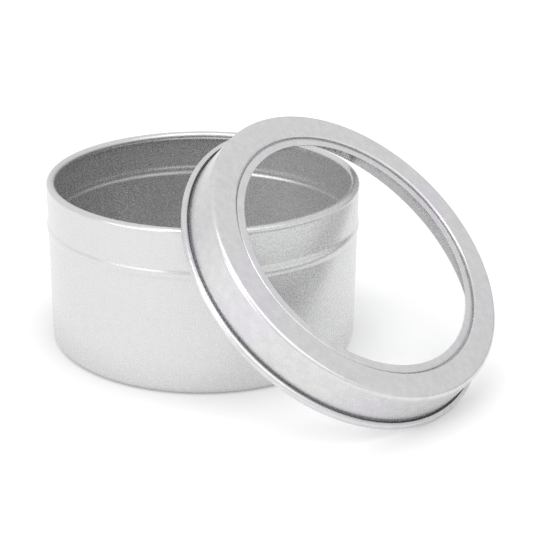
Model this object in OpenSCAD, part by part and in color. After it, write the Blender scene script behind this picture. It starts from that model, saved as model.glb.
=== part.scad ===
// Round slip-lid tin with a clear window in its lid. The lid is off: its lowest edge stands on
// the table and its window rests on the tin's rim. Millimetres, +Z up. The origin is the middle
// of the flat base, and the lid leans along +X.

/* [Tin] */
// Outside radius of the tin's wall
body_r = 41.5; // [38:0.5:45]
// Height of the tin from the table to the top of its rolled rim
rim_h = 44.4; // [41:0.2:47]
// Thickness of the tin's sheet
body_sheet = 0.25; // [0.2:0.01:0.3]
// Outside radius between the base and the wall
base_corner = 2; // [1:0.1:4]

/* [Rolled rim] */
// Outside radius of the tube the rim is rolled into
rim_tube = 1.15; // [0.9:0.05:1.3]
// How far the roll stands out past the wall
rim_bulge = 0.08; // [0.04:0.01:0.2]
// How far round the tube the sheet is rolled, in degrees
rim_wrap = 285; // [230:5:290]

/* [Bead] */
// How far the bead stands out from the wall
bead_out = 0.35; // [0.2:0.05:0.7]
// Height of the bead along the wall
bead_w = 3.2; // [2.4:0.1:4]
// From the top of the rim down to the middle of the bead
bead_drop = 12; // [11:0.1:14]

/* [Lid] */
// Depth of the lid from its top face to its lower edge
lid_depth = 11.5; // [9:0.1:13]
// Thickness of the lid's sheet
lid_sheet = 0.25; // [0.2:0.01:0.3]
// Play between the lid's skirt and the tin's rim, on the radius
lid_play = 0.07; // [0.04:0.01:0.3]
// Outside radius of the shoulder between top and skirt
shoulder = 1.25; // [0.8:0.05:1.6]
// How far the skirt flares out from shoulder to lower edge
skirt_flare = 0.6; // [0.05:0.05:0.8]
// Outside radius of the outward roll at the lower edge
lid_curl = 0.95; // [0.8:0.05:1.2]
// How far round the outward roll goes, in degrees
lid_wrap = 280; // [230:5:300]

/* [Window] */
// Width of the flat band between the lid's outside and the sunk ledge
band_w = 6.8; // [5.5:0.1:9]
// Width of the sunk ledge round the opening
ledge_w = 2.7; // [2:0.1:4]
// Depth of the ledge below the band
ledge_drop = 0.56; // [0.5:0.01:0.8]
// Thickness of the clear pane
pane_t = 0.2; // [0.15:0.05:0.4]
// Thickness of the bond between ledge and pane
bond_t = 0.1; // [0.05:0.05:0.2]
// Width of the bond
bond_w = 1.3; // [0.8:0.1:1.5]
// Gap left between the pane's edge and the step it sits in
pane_play = 0.4; // [0.2:0.05:0.6]

/* [Lean] */
// Tilt of the lid from lying flat, in degrees
lean = 40; // [37:0.1:43]
// Gap between the pane and the rim it rests on
rest_gap = 0.2; // [0.15:0.05:0.4]
// Least gap between the lid's rolled edge and the rim
side_gap = 0.3; // [0.3:0.05:0.5]

/* [Hidden] */
$fn = 96;

// Tin, all as outside radii and heights
rim_c = [body_r + rim_bulge - rim_tube, rim_h - rim_tube];
rim_mid = rim_tube - body_sheet / 2;
// A first bend outward, then the roll itself, shift the wall out by the bulge
lead_r = 1.5;
lead_a = acos(1 - rim_bulge / (lead_r + rim_mid));

// The bead is four equal bends: out, back, back and out again
bead_a = 2 * atan(2 * bead_out / bead_w);
bead_r = bead_w / (4 * sin(bead_a));
bead_z = rim_h - bead_drop;

// Lid, in its own frame: top face at z = 0, axis along z
skirt_in = body_r + rim_bulge + lid_play;
lid_r = skirt_in + lid_sheet;
skirt_mid = skirt_in + lid_sheet / 2;
flare_a = atan(skirt_flare / (lid_depth - shoulder - lid_curl));
shoulder_mid = shoulder - lid_sheet / 2;
curl_mid = lid_curl - lid_sheet / 2;
step_r = lid_r - band_w;
step_bend = ledge_drop / 2;
win_r = step_r - ledge_w;
pane_z = -ledge_drop - lid_sheet - bond_t;
pane_r = step_r - lid_sheet - step_bend - pane_play;

// The skirt runs from the shoulder's end to the start of the outward roll
skirt_top = [skirt_mid - shoulder_mid + shoulder_mid * cos(flare_a),
             -lid_sheet / 2 - shoulder_mid + shoulder_mid * sin(flare_a)];
curl_z = -lid_depth + lid_curl;
skirt_len = (skirt_top[1] - curl_z + curl_mid * sin(flare_a)) / cos(flare_a);
curl_c = [skirt_top[0] + skirt_len * sin(flare_a) + curl_mid * cos(flare_a), curl_z];

// The lean: the lid's lowest edge is on the table, and its pane rests on the rim
lean_z = cos(lean) * -curl_c[1] + sin(lean) * curl_c[0] + lid_curl;
pane_low = -pane_z + pane_t + rest_gap;
pane_x = (rim_c[0] * sin(lean) + rim_c[1] * cos(lean) + rim_tube + pane_low
          - lean_z * cos(lean)) / sin(lean);

// Gap between the rim and one point of the lid's rolled edge
function point_gap(p) =
    let (r = norm([p[0], p[1]]))
    (p[2] > rim_c[1] ? norm([r - rim_c[0], p[2] - rim_c[1]]) - rim_tube
                     : r - body_r - rim_bulge) - lid_curl;
function edge_point(x, a) =
    [x + cos(lean) * cos(a) * curl_c[0] + sin(lean) * curl_c[1], curl_c[0] * sin(a),
     lean_z - sin(lean) * cos(a) * curl_c[0] + cos(lean) * curl_c[1]];
function edge_gap(x) = min([for (a = [0:0.5:180]) point_gap(edge_point(x, a))]);
function settle(x) = edge_gap(x) >= side_gap ? x : settle(x + 0.1);
lean_x = settle(pane_x);

// Formed sheet: a section drawn by walking along the middle of the metal

// One step is [length] for a straight or [radius, turn] for a bend, turn positive to the left.
// A state is [x, y, heading].
bend_step = 7.5;
function ahead(s, k) =
    len(k) == 1
        ? [s[0] + k[0] * cos(s[2]), s[1] + k[0] * sin(s[2]), s[2]]
        : let (side = k[1] > 0 ? 1 : -1, h = s[2] + k[1])
          [s[0] + side * k[0] * (sin(h) - sin(s[2])),
           s[1] - side * k[0] * (cos(h) - cos(s[2])), h];
// Every bend is cut into short equal turns, which become narrow cones on the piece
function cut_bends(steps) =
    [for (k = steps)
        if (len(k) == 1) k
        else let (n = ceil(abs(k[1]) / bend_step)) each [for (i = [1:n]) [k[0], k[1] / n]]];
function walk(s, steps, i = 0) =
    i == len(steps) ? [s] : concat([s], walk(ahead(s, steps[i]), steps, i + 1));
function beside(s, d) = [max(0, s[0] - d * sin(s[2])), s[1] + d * cos(s[2])];
// The start's edge is square, or a half round
function start_edge(s, t, rounded) =
    rounded ? [for (a = [30:30:150]) [s[0] + t / 2 * cos(s[2] + 90 + a),
                                      s[1] + t / 2 * sin(s[2] + 90 + a)]]
            : [];

module sheet(start, steps, t, rounded = false) {
    path = walk(start, cut_bends(steps));
    n = len(path) - 1;
    polygon(concat(start_edge(start, t, rounded),
                   [for (i = [0:n]) beside(path[i], -t / 2)],
                   [for (i = [n:-1:0]) beside(path[i], t / 2)]));
}

// Sections
body_start = [0, body_sheet / 2, 0];
corner_mid = base_corner - body_sheet / 2;
body_steps = [
    [body_r - base_corner],
    [corner_mid, 90],
    [bead_z - bead_w / 2 - base_corner],
    [bead_r, -bead_a], [bead_r, 2 * bead_a], [bead_r, -bead_a],
    [rim_c[1] - (lead_r + rim_mid) * sin(lead_a) - bead_z - bead_w / 2],
    [lead_r, -lead_a],
    [rim_mid, lead_a + rim_wrap]
];

lid_start = [win_r + lid_sheet / 2, -ledge_drop - lid_sheet / 2, 0];
lid_steps = [
    [step_r - lid_sheet / 2 - step_bend - win_r - lid_sheet / 2],
    [step_bend, 90], [step_bend, -90],
    [skirt_mid - shoulder_mid - step_r + lid_sheet / 2 - step_bend],
    [shoulder_mid, flare_a - 90],
    [skirt_len],
    [curl_mid, lid_wrap]
];

module leaning() {
    translate([lean_x, 0, lean_z]) rotate([0, lean, 0]) children();
}

module tin_body() {
    color("silver") rotate_extrude($fn = 180) sheet(body_start, body_steps, body_sheet);
}

module lid_shell() {
    color("silver") leaning() rotate_extrude($fn = 180)
        sheet(lid_start, lid_steps, lid_sheet, rounded = true);
}

module window_bond() {
    color("white") leaning() translate([0, 0, pane_z])
        difference() {
            cylinder(r = pane_r, h = bond_t, $fn = 180);
            translate([0, 0, -1]) cylinder(r = pane_r - bond_w, h = bond_t + 2, $fn = 180);
        }
}

module window_pane() {
    color("lightcyan", 0.35) leaning() translate([0, 0, pane_z - pane_t])
        cylinder(r = pane_r, h = pane_t, $fn = 180);
}

tin_body();
lid_shell();
window_bond();
window_pane();
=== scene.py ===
"""A satin slip-lid tin with a clear window in its lid, on a pale floor."""

import math

import bmesh
import bpy
from mathutils import Matrix, Vector


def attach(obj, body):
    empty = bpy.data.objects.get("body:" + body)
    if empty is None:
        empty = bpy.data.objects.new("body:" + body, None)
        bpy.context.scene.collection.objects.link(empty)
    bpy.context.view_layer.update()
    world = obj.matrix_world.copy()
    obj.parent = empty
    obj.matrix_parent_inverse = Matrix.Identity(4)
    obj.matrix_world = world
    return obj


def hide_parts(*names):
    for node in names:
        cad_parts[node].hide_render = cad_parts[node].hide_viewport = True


bl_info = {
    "name": "Window Lid Tin",
    "version": (1, 0, 0),
    "blender": (4, 5, 0),
    "location": "View3D > Sidebar > Tin",
    "description": "Builds a round slip-lid tin with a clear window in its lid",
    "category": "Object",
}

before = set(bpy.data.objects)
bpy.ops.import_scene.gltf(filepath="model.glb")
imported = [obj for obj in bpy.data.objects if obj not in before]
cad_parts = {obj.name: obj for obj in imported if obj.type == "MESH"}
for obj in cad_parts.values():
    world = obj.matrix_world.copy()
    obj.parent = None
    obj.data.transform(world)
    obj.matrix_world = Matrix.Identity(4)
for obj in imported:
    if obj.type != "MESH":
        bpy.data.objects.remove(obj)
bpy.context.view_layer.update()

MM = 0.001

# How finely the pieces are drawn
BEND_STEP = math.radians(6)
METAL_TURNS = 224
PANE_TURNS = 192
WELD = 1e-6
# Faces that meet at a larger angle than this keep a sharp edge between them
SHARP_ABOVE = math.radians(50)
# Short straight next to every bend, which keeps the shading of the flats flat
HOLD = 0.12 * MM

# Small sizes that the panel doesn't offer
RAW_EDGE = 0.46
LEAD_BEND = 1.5 * MM
REST_GAP = 0.2 * MM
PANE_NICK = 0.05 * MM
BOND_NICK = 0.02 * MM
# The ledge's turned-down raw edge, and its fall towards the groove
EDGE_BEND, EDGE_TURN = 0.35 * MM, math.radians(25)
SLOPE_BEND, SLOPE_TURN = 2.6 * MM, math.radians(12)

# Name, compass angle, height angle, width, depth and brightness; angles in degrees, sizes in metres
SOFT_BOXES = (
    ("left", 262, 22, 1.1, 0.55, 1.5),
    ("left high", 275, 44, 0.55, 0.55, 0.9),
    ("over", 312, 66, 1.15, 0.55, 2.8),
    ("right", 350, 42, 1.15, 0.55, 1.0),
)
BOX_DISTANCE = 1.5
BOX_AIM = Vector((0.02, 0.0, 0.02))

FLOOR_SIZE = 6.0
# Painted contact shadow: the floor's glow fades to this share next to the tin, within this reach in
# metres
PAINTED_SHADOW_SHARE = 0.3
PAINTED_SHADOW_REACH = 0.018

# The sky loses strength on the far side of the tin, most of all low down
SKY_STRENGTH = 0.91
SKY_LOSS = 0.5
SKY_FALL = 3.0
SKY_FAR = (0.2, 0.95)

# The photograph's view: metres and radians, with the focal length and the width in its pixels
CAMERA = {
    "place": (0.017168, -0.339646, 0.157782),
    "tip": 0.38974,
    "roll": -0.01482,
    "turn": 0.6861,
    "focal": 1339.3,
    "width": 533,
}
SENSOR_WIDTH = 36.0


def millimetres(name, description, default):
    """A length, with its default in millimetres."""
    return bpy.props.FloatProperty(
        name=name, description=description, default=default * MM, min=0.0,
        unit="LENGTH", precision=5)


def degrees(name, description, default):
    """An angle, with its default in degrees."""
    return bpy.props.FloatProperty(
        name=name, description=description, default=math.radians(default), unit="ROTATION")


def share(name, description, default):
    """A number from 0 to 1."""
    return bpy.props.FloatProperty(
        name=name, description=description, default=default, min=0.0, max=1.0,
        subtype="FACTOR")


def grey(name, description, default):
    """A colour whose default is one grey."""
    return bpy.props.FloatVectorProperty(
        name=name, description=description, default=(default, default, default), size=3,
        min=0.0, max=1.0, subtype="COLOR")


class TinSizes(bpy.types.PropertyGroup):
    """Sizes of the tin's body"""

    wall_radius: millimetres("Wall radius", "Outside radius of the tin's wall", 41.5)
    height: millimetres("Height", "From the table to the top of the rolled rim", 44.4)
    sheet: millimetres("Sheet", "Thickness of the tin's sheet", 0.25)
    base_corner: millimetres("Base corner", "Outside radius between base and wall", 2.0)
    rim_tube: millimetres("Rim roll", "Outside radius of the tube the rim is rolled into", 1.15)
    rim_bulge: millimetres("Rim bulge", "How far the roll stands out past the wall", 0.08)
    rim_wrap: degrees("Rim wrap", "How far round the roll goes", 285)
    bead_out: millimetres("Bead depth", "How far the bead stands out from the wall", 0.35)
    bead_width: millimetres("Bead width", "Height of the bead along the wall", 3.6)
    bead_drop: millimetres(
        "Bead drop", "From the top of the rim down to the middle of the bead", 12.0)


class LidSizes(bpy.types.PropertyGroup):
    """Sizes of the lid's metal, and its lean"""

    depth: millimetres("Depth", "From the lid's top face to its lower edge", 11.5)
    sheet: millimetres("Sheet", "Thickness of the lid's sheet", 0.25)
    play: millimetres("Play", "Play between skirt and rim, on the radius", 0.07)
    shoulder: millimetres("Shoulder", "Outside radius between top and skirt", 1.25)
    flare: millimetres("Flare", "How far the skirt flares out towards its lower edge", 0.6)
    curl: millimetres("Edge roll", "Outside radius of the roll at the lower edge", 0.95)
    wrap: degrees("Edge wrap", "How far round the roll at the lower edge goes", 280)
    band: millimetres("Band", "Width of the flat band outside the ledge", 6.8)
    ledge: millimetres("Ledge", "Width of the sunk ledge round the opening", 2.7)
    ledge_drop: millimetres("Ledge drop", "Depth of the ledge below the band", 0.56)
    lip: millimetres("Lip", "Radius of the bend at the band's inner edge", 0.36)
    crown: millimetres("Ledge bend", "Radius of the bend at the ledge's outer edge", 0.27)
    groove: millimetres("Groove", "Width of the groove between band and ledge", 0.36)
    groove_depth: millimetres("Groove depth", "Depth of the groove below the band", 1.2)
    lean: degrees("Lean", "Tilt of the lid from lying flat", 40.0)


class WindowSizes(bpy.types.PropertyGroup):
    """Sizes of the pane and its bond"""

    thickness: millimetres("Thickness", "Thickness of the clear pane", 0.2)
    bond: millimetres("Bond", "Thickness of the bond under the ledge", 0.1)
    bond_width: millimetres("Bond width", "Width of the bond", 1.3)
    play: millimetres("Play", "Gap between the pane's edge and the step it sits in", 0.4)


class Finish(bpy.types.PropertyGroup):
    """Colour and shine of the metal and the floor"""

    metal: grey("Tin plate", "Colour of the tin plate", 0.65)
    metal_roughness: share("Roughness", "How matt the tin plate is", 0.27)
    floor: grey("Floor", "Colour of the floor", 0.42)
    floor_glow: bpy.props.FloatProperty(
        name="Floor glow", description="Light from below through the white floor",
        default=0.66, min=0.0)


# Formed sheet: its section is drawn in the XZ plane by pulling and turning one corner at a time


def pulled(bm, corner, heading, length):
    """Pull a corner out into a straight edge."""
    made = bmesh.ops.extrude_vert_indiv(bm, verts=[corner])["verts"][0]
    way = (length * math.cos(heading), 0.0, length * math.sin(heading))
    bmesh.ops.translate(bm, verts=[made], vec=way)
    return made


def turned(bm, corner, heading, radius, turn):
    """Turn a corner out into an arc; a positive turn is to the left."""
    side = math.copysign(radius, turn)
    centre = corner.co + Vector((-side * math.sin(heading), 0.0, side * math.cos(heading)))
    steps = max(2, math.ceil(abs(turn) / BEND_STEP))
    made = bmesh.ops.spin(
        bm, geom=[corner], cent=centre, axis=(0, 1, 0), dvec=(0, 0, 0), angle=-turn,
        steps=steps, use_merge=False, use_normal_flip=False, use_duplicate=False)
    return next(e for e in made["geom_last"] if isinstance(e, bmesh.types.BMVert))


def sheet_side(bm, start, steps, aside):
    """One side of the sheet, to the left of its middle line; gives its two end corners."""
    x, z, heading = start
    corner = first = bm.verts.new(
        (x - aside * math.sin(heading), 0.0, z + aside * math.cos(heading)))
    for step in steps:
        if len(step) == 1:
            long = step[0] > 4 * HOLD
            for length in [HOLD, step[0] - 2 * HOLD, HOLD] if long else step:
                corner = pulled(bm, corner, heading, length)
        else:
            radius, turn = step
            beside = radius - math.copysign(1, turn) * aside
            corner = turned(bm, corner, heading, beside, turn)
            heading += turn
    return first, corner


def blunted(bm, corners, offset, segments):
    """Round corners of the section off by a small amount."""
    bmesh.ops.bevel(
        bm, geom=corners, offset=offset, offset_type="OFFSET", affect="VERTICES",
        segments=segments, profile=0.5, material=-1)


def formed_sheet(name, start, steps, thickness, place=Matrix()):
    """A new object: a sheet of even thickness along a path, with rounded raw edges."""
    bm = bmesh.new()
    left = sheet_side(bm, start, steps, thickness / 2)
    right = sheet_side(bm, start, steps, -thickness / 2)
    raw_ends = [(left[1], right[1])]
    if start[0] > 0:
        raw_ends.append((left[0], right[0]))
    for pair in raw_ends:
        bm.edges.new(pair)
    blunted(bm, [corner for pair in raw_ends for corner in pair], RAW_EDGE * thickness, 3)
    return spun(name, bm, METAL_TURNS, place)


def disc(name, inner, outer, low, high, nick, place):
    """A new object: a flat disc or ring with nicked outer edges."""
    bm = bmesh.new()
    section = ((inner, low), (outer, low), (outer, high), (inner, high))
    corners = [bm.verts.new((x, 0.0, z)) for x, z in section]
    for here, there in zip(corners, corners[1:]):
        bm.edges.new((here, there))
    if inner > 0:
        bm.edges.new((corners[3], corners[0]))
    blunted(bm, corners[1:3], nick, 2)
    return spun(name, bm, PANE_TURNS, place)


def spun(name, bm, turns, place):
    """A new object: the section in the bmesh spun once round Z and set in place."""
    bmesh.ops.spin(
        bm, geom=bm.verts[:] + bm.edges[:], cent=(0, 0, 0), axis=(0, 0, 1), dvec=(0, 0, 0),
        angle=2 * math.pi, steps=turns, use_merge=True, use_normal_flip=False,
        use_duplicate=False)
    bmesh.ops.remove_doubles(bm, verts=bm.verts[:], dist=WELD)
    bmesh.ops.recalc_face_normals(bm, faces=bm.faces[:])
    bmesh.ops.transform(bm, matrix=place, verts=bm.verts[:])
    return finished(name, bm)


def finished(name, bm):
    """A new object from a closed bmesh, smooth but for its sharp edges."""
    loose = [v for v in bm.verts if not v.link_faces]
    bmesh.ops.delete(bm, geom=loose, context="VERTS")
    if any(not e.is_manifold for e in bm.edges):
        raise RuntimeError(f"{name} is not closed")
    mesh = bpy.data.meshes.new(name)
    for face in bm.faces:
        face.smooth = True
    bm.to_mesh(mesh)
    bm.free()
    mesh.set_sharp_from_angle(angle=SHARP_ABOVE)
    piece = bpy.data.objects.new(name, mesh)
    bpy.context.scene.collection.objects.link(piece)
    return piece


def dress(piece, material, body, slot, *nodes):
    """Give a piece its material and its body, and hide the nodes that it stands for. Its slot is
    not used.
    """
    piece.data.materials.append(material)
    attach(piece, body)
    if nodes:
        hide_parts(*nodes)


# The tin and its lid as walks, from the same sizes


def rim_centre(tin):
    """The middle of the rolled rim's tube, as radius and height."""
    return tin.wall_radius + tin.rim_bulge - tin.rim_tube, tin.height - tin.rim_tube


def tin_path(tin):
    """Where the tin's sheet starts, and its steps: (length,) or (radius, turn)."""
    half = tin.sheet / 2
    rim_mid = tin.rim_tube - half
    lead_turn = math.acos(1 - tin.rim_bulge / (LEAD_BEND + rim_mid))
    bead_turn = 2 * math.atan(2 * tin.bead_out / tin.bead_width)
    bead = tin.bead_width / (4 * math.sin(bead_turn))
    bead_low = tin.height - tin.bead_drop - tin.bead_width / 2
    bead_high = bead_low + tin.bead_width
    neck_top = rim_centre(tin)[1] - (LEAD_BEND + rim_mid) * math.sin(lead_turn)
    steps = [
        (tin.wall_radius - tin.base_corner,),
        (tin.base_corner - half, math.pi / 2),
        (bead_low - tin.base_corner,),
        (bead, -bead_turn),
        (bead, 2 * bead_turn),
        (bead, -bead_turn),
        (neck_top - bead_high,),
        (LEAD_BEND, -lead_turn),
        (rim_mid, lead_turn + tin.rim_wrap),
    ]
    return (0.0, half, 0.0), steps


def lid_shape(tin, lid, window):
    """Everything the lid's pieces share, in the lid's own frame: top face at z = 0."""
    skirt_in = tin.wall_radius + tin.rim_bulge + lid.play
    half = lid.sheet / 2
    skirt_mid = skirt_in + half
    shoulder_mid = lid.shoulder - half
    curl_mid = lid.curl - half
    step_r = skirt_in + lid.sheet - lid.band
    bend = lid.ledge_drop / 2
    flare = math.atan(lid.flare / (lid.depth - lid.shoulder - lid.curl))
    skirt_top = (
        skirt_mid - shoulder_mid + shoulder_mid * math.cos(flare),
        -half - shoulder_mid + shoulder_mid * math.sin(flare),
    )
    curl_z = lid.curl - lid.depth
    skirt_length = (skirt_top[1] - curl_z + curl_mid * math.sin(flare)) / math.cos(flare)
    curl_x = skirt_top[0] + skirt_length * math.sin(flare) + curl_mid * math.cos(flare)
    opening = step_r - lid.ledge

    # The ledge turns down at its raw edge, slopes off, and drops into the groove under the lip
    trough = lid.groove / 2 + half
    start_z = -lid.ledge_drop - half - EDGE_BEND * (1 - math.cos(EDGE_TURN))
    start = (opening + half, start_z, EDGE_TURN)
    crown_z = -lid.ledge_drop - half - SLOPE_BEND * (1 - math.cos(SLOPE_TURN))
    trough_z = -lid.groove_depth - half + trough
    drop = crown_z - lid.crown * math.cos(SLOPE_TURN) - trough_z
    band_start = step_r + bend
    crown_end = band_start - lid.lip - 2 * trough
    ledge_end = (crown_end - lid.crown * (1 - math.sin(SLOPE_TURN))
                 - SLOPE_BEND * math.sin(SLOPE_TURN))
    steps = [
        (EDGE_BEND, -EDGE_TURN),
        (ledge_end - start[0] - EDGE_BEND * math.sin(EDGE_TURN),),
        (SLOPE_BEND, -SLOPE_TURN),
        (lid.crown, SLOPE_TURN - math.pi / 2),
        (drop,),
        (trough, math.pi),
        (-half - lid.lip - trough_z,),
        (lid.lip, -math.pi / 2),
        (skirt_mid - shoulder_mid - band_start,),
        (shoulder_mid, flare - math.pi / 2),
        (skirt_length,),
        (curl_mid, lid.wrap),
    ]
    return {
        "start": start,
        "steps": steps,
        "curl": (curl_x, curl_z),
        "pane_top": -lid.ledge_drop - lid.sheet - window.bond,
        "pane_radius": step_r - lid.sheet - bend - window.play,
    }


def lid_place(tin, lid, window):
    """Where the lid's own frame comes: its edge on the table and its pane on the rim."""
    shape = lid_shape(tin, lid, window)
    curl_x, curl_z = shape["curl"]
    sine, cosine = math.sin(lid.lean), math.cos(lid.lean)
    rim_x, rim_z = rim_centre(tin)
    z = cosine * -curl_z + sine * curl_x + lid.curl
    under = -shape["pane_top"] + window.thickness + REST_GAP
    x = (rim_x * sine + rim_z * cosine + tin.rim_tube + under - z * cosine) / sine
    return Matrix.Translation((x, 0.0, z)) @ Matrix.Rotation(lid.lean, 4, "Y")


# Materials


def blank_material(name):
    """A new material with its own empty tree; gives the material, its nodes and its links."""
    material = bpy.data.materials.new(name)
    material.use_nodes = True
    material.node_tree.nodes.clear()
    return material, material.node_tree.nodes, material.node_tree.links


def node(nodes, kind, **values):
    """A new node; each value sets the input of that name, or else the property."""
    made = nodes.new(kind)
    for key, value in values.items():
        if key in made.inputs:
            made.inputs[key].default_value = value
        else:
            setattr(made, key, value)
    return made


def ranged(nodes, low=0.0, high=1.0, to_low=0.0, to_high=1.0):
    """A Map Range node with its four limits set."""
    made = nodes.new("ShaderNodeMapRange")
    made.inputs["From Min"].default_value = low
    made.inputs["From Max"].default_value = high
    made.inputs["To Min"].default_value = to_low
    made.inputs["To Max"].default_value = to_high
    return made


def maths(nodes, operation, *numbers):
    """A Math node, with numbers in its inputs from the second one on."""
    made = node(nodes, "ShaderNodeMath", operation=operation)
    for socket, number in zip(made.inputs[1:], numbers):
        socket.default_value = number
    return made


def tin_plate(name, finish, mottled, cool):
    """Bright tin plate with a satin finish and soft press marks.

    The colour swings by the share mottled either way, and cool is how far its patches turn cool.
    """
    material, nodes, links = blank_material(name)
    out = nodes.new("ShaderNodeOutputMaterial")
    shader = node(nodes, "ShaderNodeBsdfPrincipled", Metallic=0.80)
    place = nodes.new("ShaderNodeTexCoord")

    clouds = node(nodes, "ShaderNodeTexNoise", Scale=70.0, Detail=3.0, Roughness=0.55)
    mottle = node(nodes, "ShaderNodeTexNoise", Scale=520.0, Detail=1.0, Roughness=0.5)
    grain = node(nodes, "ShaderNodeTexNoise", Scale=1400.0, Detail=1.0, Roughness=0.5)
    for texture in (clouds, mottle, grain):
        links.new(place.outputs["Object"], texture.inputs["Vector"])

    # Clouds and mottle together set how light the plate is, and the clouds alone where it is cool
    mottle_share, cloud_share = 0.6, 0.4
    blotches = maths(nodes, "MULTIPLY_ADD", mottle_share)
    links.new(mottle.outputs["Fac"], blotches.inputs[0])
    weak_clouds = maths(nodes, "MULTIPLY", cloud_share)
    links.new(clouds.outputs["Fac"], weak_clouds.inputs[0])
    links.new(weak_clouds.outputs["Value"], blotches.inputs[2])
    tint = node(nodes, "ShaderNodeMix", data_type="RGBA")
    for side, swing in (("A", 1 - mottled), ("B", 1 + mottled)):
        tint.inputs[side].default_value = (*(part * swing for part in finish.metal), 1.0)
    links.new(blotches.outputs["Value"], tint.inputs["Factor"])
    patches = ranged(nodes, 0.45, 0.6, to_high=cool)
    links.new(clouds.outputs["Fac"], patches.inputs["Value"])
    cooled = node(nodes, "ShaderNodeMix", data_type="RGBA", blend_type="MULTIPLY")
    cooled.inputs["B"].default_value = (0.975, 0.955, 1.0, 1.0)
    links.new(tint.outputs["Result"], cooled.inputs["A"])
    links.new(patches.outputs["Result"], cooled.inputs["Factor"])
    links.new(cooled.outputs["Result"], shader.inputs["Base Color"])

    matt, spread = finish.metal_roughness, 0.015
    gloss = ranged(nodes, 0.3, 0.7, matt - spread, matt + spread)
    links.new(grain.outputs["Fac"], gloss.inputs["Value"])
    links.new(gloss.outputs["Result"], shader.inputs["Roughness"])

    fine = node(nodes, "ShaderNodeBump", Strength=0.03, Distance=0.00001)
    links.new(grain.outputs["Fac"], fine.inputs["Height"])
    soft = node(nodes, "ShaderNodeBump", Strength=0.3, Distance=0.0002)
    links.new(clouds.outputs["Fac"], soft.inputs["Height"])
    links.new(fine.outputs["Normal"], soft.inputs["Normal"])
    links.new(soft.outputs["Normal"], shader.inputs["Normal"])
    links.new(shader.outputs["BSDF"], out.inputs["Surface"])
    return material


def clear_sheet(name):
    """Clear plastic sheet: see-through, and its faces mirror a little, more at a slant."""
    material, nodes, links = blank_material(name)
    out = nodes.new("ShaderNodeOutputMaterial")
    through = node(nodes, "ShaderNodeBsdfTransparent", Color=(0.985, 0.987, 0.988, 1.0))
    mirror = node(nodes, "ShaderNodeBsdfGlossy", Color=(1.0, 1.0, 1.0, 1.0))
    place = nodes.new("ShaderNodeTexCoord")
    haze = node(nodes, "ShaderNodeTexNoise", Scale=120.0, Detail=2.0)
    gloss = ranged(nodes, to_low=0.05, to_high=0.12)
    links.new(place.outputs["Object"], haze.inputs["Vector"])
    links.new(haze.outputs["Fac"], gloss.inputs["Value"])
    links.new(gloss.outputs["Result"], mirror.inputs["Roughness"])

    # The mirrored share: a veil from every side, and a gain that sets in steeply at a slant
    veil, gain, steepness = 0.08, 0.7, 5.0
    slant = node(nodes, "ShaderNodeLayerWeight", Blend=0.5)
    steep = maths(nodes, "POWER", steepness)
    amount = maths(nodes, "MULTIPLY_ADD", gain, veil)
    links.new(slant.outputs["Facing"], steep.inputs[0])
    links.new(steep.outputs["Value"], amount.inputs[0])
    mix = nodes.new("ShaderNodeMixShader")
    links.new(amount.outputs["Value"], mix.inputs["Fac"])
    links.new(through.outputs["BSDF"], mix.inputs[1])
    links.new(mirror.outputs["BSDF"], mix.inputs[2])
    links.new(mix.outputs["Shader"], out.inputs["Surface"])
    return material


def glue_line(name):
    """Whitish set adhesive, slightly clouded."""
    material, nodes, links = blank_material(name)
    out = nodes.new("ShaderNodeOutputMaterial")
    shader = node(nodes, "ShaderNodeBsdfPrincipled", Roughness=0.45)
    place = nodes.new("ShaderNodeTexCoord")
    clouds = node(nodes, "ShaderNodeTexNoise", Scale=400.0, Detail=2.0)
    ramp = nodes.new("ShaderNodeValToRGB")
    ramp.color_ramp.elements[0].color = (0.72, 0.72, 0.70, 1.0)
    ramp.color_ramp.elements[1].color = (0.82, 0.82, 0.80, 1.0)
    links.new(place.outputs["Object"], clouds.inputs["Vector"])
    links.new(clouds.outputs["Fac"], ramp.inputs["Fac"])
    links.new(ramp.outputs["Color"], shader.inputs["Base Color"])
    links.new(shader.outputs["BSDF"], out.inputs["Surface"])
    return material


def glowing_floor(finish):
    """A white floor lit from below, with a painted contact shadow: its glow is dimmed where
    something stands close to it.
    """
    material, nodes, links = blank_material("floor")
    out = nodes.new("ShaderNodeOutputMaterial")
    paint = node(nodes, "ShaderNodeBsdfDiffuse", Color=(*finish.floor, 1.0))
    glow = nodes.new("ShaderNodeEmission")
    # Painted contact shadow: ambient occlusion dims the floor's glow next to the tin
    painted_shadow = node(
        nodes, "ShaderNodeAmbientOcclusion", samples=16, only_local=False,
        Distance=PAINTED_SHADOW_REACH)
    glow_with_painted_shadow = ranged(nodes, to_low=PAINTED_SHADOW_SHARE * finish.floor_glow, to_high=finish.floor_glow)
    links.new(painted_shadow.outputs["AO"], glow_with_painted_shadow.inputs["Value"])
    links.new(glow_with_painted_shadow.outputs["Result"], glow.inputs["Strength"])
    both = nodes.new("ShaderNodeAddShader")
    links.new(paint.outputs["BSDF"], both.inputs[0])
    links.new(glow.outputs["Emission"], both.inputs[1])
    links.new(both.outputs["Shader"], out.inputs["Surface"])
    return material


# The stage


def white_floor(scene):
    """The floor that the tin stands on."""
    bm = bmesh.new()
    bmesh.ops.create_grid(bm, x_segments=1, y_segments=1, size=FLOOR_SIZE)
    mesh = bpy.data.meshes.new("floor")
    bm.to_mesh(mesh)
    bm.free()
    floor = bpy.data.objects.new("floor", mesh)
    scene.collection.objects.link(floor)
    mesh.materials.append(glowing_floor(scene.tin_finish))


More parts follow.
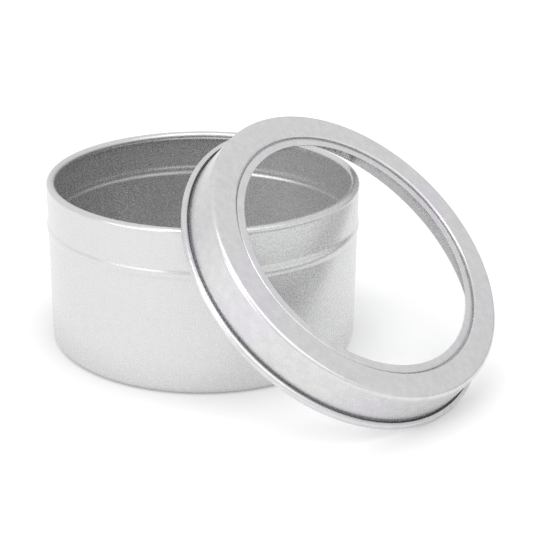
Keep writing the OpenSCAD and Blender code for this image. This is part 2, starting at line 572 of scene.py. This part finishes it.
def studio_sky(scene):
    """An even white sky that is weaker low down on the far side."""
    world = bpy.data.worlds.new("studio")
    world.use_nodes = True
    scene.world = world
    nodes, links = world.node_tree.nodes, world.node_tree.links
    back = nodes["Background"]
    back.inputs["Color"].default_value = (1.0, 1.0, 1.0, 1.0)
    away = nodes.new("ShaderNodeTexCoord")
    split = nodes.new("ShaderNodeSeparateXYZ")
    links.new(away.outputs["Generated"], split.inputs["Vector"])
    far = ranged(nodes, *SKY_FAR)
    far.interpolation_type = "SMOOTHSTEP"
    links.new(split.outputs["Y"], far.inputs["Value"])
    low = ranged(nodes, to_low=1.0, to_high=0.0)
    links.new(split.outputs["Z"], low.inputs["Value"])
    falling = maths(nodes, "POWER", SKY_FALL)
    links.new(low.outputs["Result"], falling.inputs[0])
    shade = maths(nodes, "MULTIPLY")
    links.new(falling.outputs["Value"], shade.inputs[0])
    links.new(far.outputs["Result"], shade.inputs[1])
    strength = maths(nodes, "MULTIPLY_ADD", -SKY_LOSS, SKY_STRENGTH)
    links.new(shade.outputs["Value"], strength.inputs[0])
    links.new(strength.outputs["Value"], back.inputs["Strength"])


def soft_box(scene, name, compass, height, width, depth, brightness):
    """A soft box round the tin at a compass angle and a height angle, facing the tin."""
    around, up = math.radians(compass), math.radians(height)
    way = Vector((math.cos(up) * math.cos(around), math.cos(up) * math.sin(around), math.sin(up)))
    place = BOX_DISTANCE * way
    lamp = bpy.data.lights.new(name, "AREA")
    lamp.shape = "RECTANGLE"
    lamp.size, lamp.size_y = width, depth
    lamp.energy = brightness * math.pi * width * depth
    holder = bpy.data.objects.new(name, lamp)
    facing = (BOX_AIM - place).to_track_quat("-Z", "Y").to_matrix().to_4x4()
    holder.matrix_world = Matrix.Translation(place) @ facing
    scene.collection.objects.link(holder)


def photo_camera(scene):
    """The photograph's view: position, aim and a slight roll, with no lens shift."""
    turn = Matrix.Rotation(CAMERA["turn"], 3, "Z")
    place = turn @ Vector(CAMERA["place"])
    tip, roll = CAMERA["tip"], CAMERA["roll"]
    ahead = turn @ Vector((0, math.cos(tip), -math.sin(tip)))
    up = turn @ Vector((0, math.sin(tip), math.cos(tip)))
    right = turn @ Vector((1, 0, 0))
    right, up = (right * math.cos(roll) - up * math.sin(roll),
                 right * math.sin(roll) + up * math.cos(roll))
    lens = bpy.data.cameras.new("camera")
    lens.sensor_width = SENSOR_WIDTH
    lens.lens = SENSOR_WIDTH * CAMERA["focal"] / CAMERA["width"]
    camera = bpy.data.objects.new("camera", lens)
    axes = Matrix((right, up, -ahead)).transposed().to_4x4()
    camera.matrix_world = Matrix.Translation(place) @ axes
    scene.collection.objects.link(camera)
    scene.camera = camera


# Operators


class OBJECT_OT_tin_body(bpy.types.Operator):
    """Make the tin: base, wall, stop bead and rolled rim"""

    bl_idname = "object.tin_body"
    bl_label = "Tin"
    bl_options = {"REGISTER", "UNDO"}

    def execute(self, context):
        tin, finish = context.scene.tin_sizes, context.scene.tin_finish
        piece = formed_sheet("tin", *tin_path(tin), tin.sheet)
        plate = tin_plate("tin plate", finish, mottled=0.05, cool=0.15)
        dress(piece, plate, "tin", "tinplate", "tin_body")
        return {"FINISHED"}


class OBJECT_OT_tin_lid(bpy.types.Operator):
    """Make the lid's metal: ledge, step, band, shoulder, skirt and rolled edge"""

    bl_idname = "object.tin_lid"
    bl_label = "Lid"
    bl_options = {"REGISTER", "UNDO"}

    def execute(self, context):
        scene = context.scene
        sizes = scene.tin_sizes, scene.lid_sizes, scene.window_sizes
        shape, place = lid_shape(*sizes), lid_place(*sizes)
        piece = formed_sheet(
            "lid", shape["start"], shape["steps"], scene.lid_sizes.sheet, place)
        plate = tin_plate("lid plate", scene.tin_finish, mottled=0.16, cool=1.0)
        dress(piece, plate, "lid", "tinplate", "lid_shell")
        return {"FINISHED"}


class OBJECT_OT_tin_window(bpy.types.Operator):
    """Make the clear pane and the bond that holds it"""

    bl_idname = "object.tin_window"
    bl_label = "Window"
    bl_options = {"REGISTER", "UNDO"}

    def execute(self, context):
        scene = context.scene
        window = scene.window_sizes
        sizes = scene.tin_sizes, scene.lid_sizes, window
        shape, place = lid_shape(*sizes), lid_place(*sizes)
        top, radius = shape["pane_top"], shape["pane_radius"]
        pane = disc("pane", 0.0, radius, top - window.thickness, top, PANE_NICK, place)
        dress(pane, clear_sheet("clear sheet"), "lid", "window", "window_pane")
        inner = radius - window.bond_width
        bond = disc("bond", inner, radius, top, top + window.bond, BOND_NICK, place)
        dress(bond, glue_line("glue line"), "lid", "bond", "window_bond")
        return {"FINISHED"}


class OBJECT_OT_tin_stage(bpy.types.Operator):
    """Make the floor, the soft light and the camera"""

    bl_idname = "object.tin_stage"
    bl_label = "Floor, light and camera"
    bl_options = {"REGISTER", "UNDO"}

    def execute(self, context):
        scene = context.scene
        white_floor(scene)
        studio_sky(scene)
        for box in SOFT_BOXES:
            soft_box(scene, *box)
        photo_camera(scene)
        scene.view_settings.view_transform = "Standard"
        return {"FINISHED"}


class VIEW3D_PT_tin(bpy.types.Panel):
    """Sizes, finish and the pieces"""

    bl_label = "Window lid tin"
    bl_idname = "VIEW3D_PT_tin"
    bl_space_type = "VIEW_3D"
    bl_region_type = "UI"
    bl_category = "Tin"

    def draw(self, context):
        scene, layout = context.scene, self.layout
        groups = (
            ("Tin", scene.tin_sizes),
            ("Lid", scene.lid_sizes),
            ("Window", scene.window_sizes),
            ("Finish", scene.tin_finish),
        )
        for title, group in groups:
            box = layout.box()
            box.label(text=title)
            for key in type(group).__annotations__:
                box.prop(group, key)
        for operator in OPERATORS:
            layout.operator(operator.bl_idname)


GROUPS = {
    "tin_sizes": TinSizes,
    "lid_sizes": LidSizes,
    "window_sizes": WindowSizes,
    "tin_finish": Finish,
}
OPERATORS = (OBJECT_OT_tin_stage, OBJECT_OT_tin_body, OBJECT_OT_tin_lid, OBJECT_OT_tin_window)


def register():
    for made in (*GROUPS.values(), *OPERATORS, VIEW3D_PT_tin):
        bpy.utils.register_class(made)
    for name, group in GROUPS.items():
        setattr(bpy.types.Scene, name, bpy.props.PointerProperty(type=group))


def unregister():
    for name in GROUPS:
        delattr(bpy.types.Scene, name)
    for made in reversed((*GROUPS.values(), *OPERATORS, VIEW3D_PT_tin)):
        bpy.utils.unregister_class(made)


def main():
    register()
    bpy.ops.object.tin_stage()
    bpy.ops.object.tin_body()
    bpy.ops.object.tin_lid()
    bpy.ops.object.tin_window()


if __name__ == "__main__":
    main()
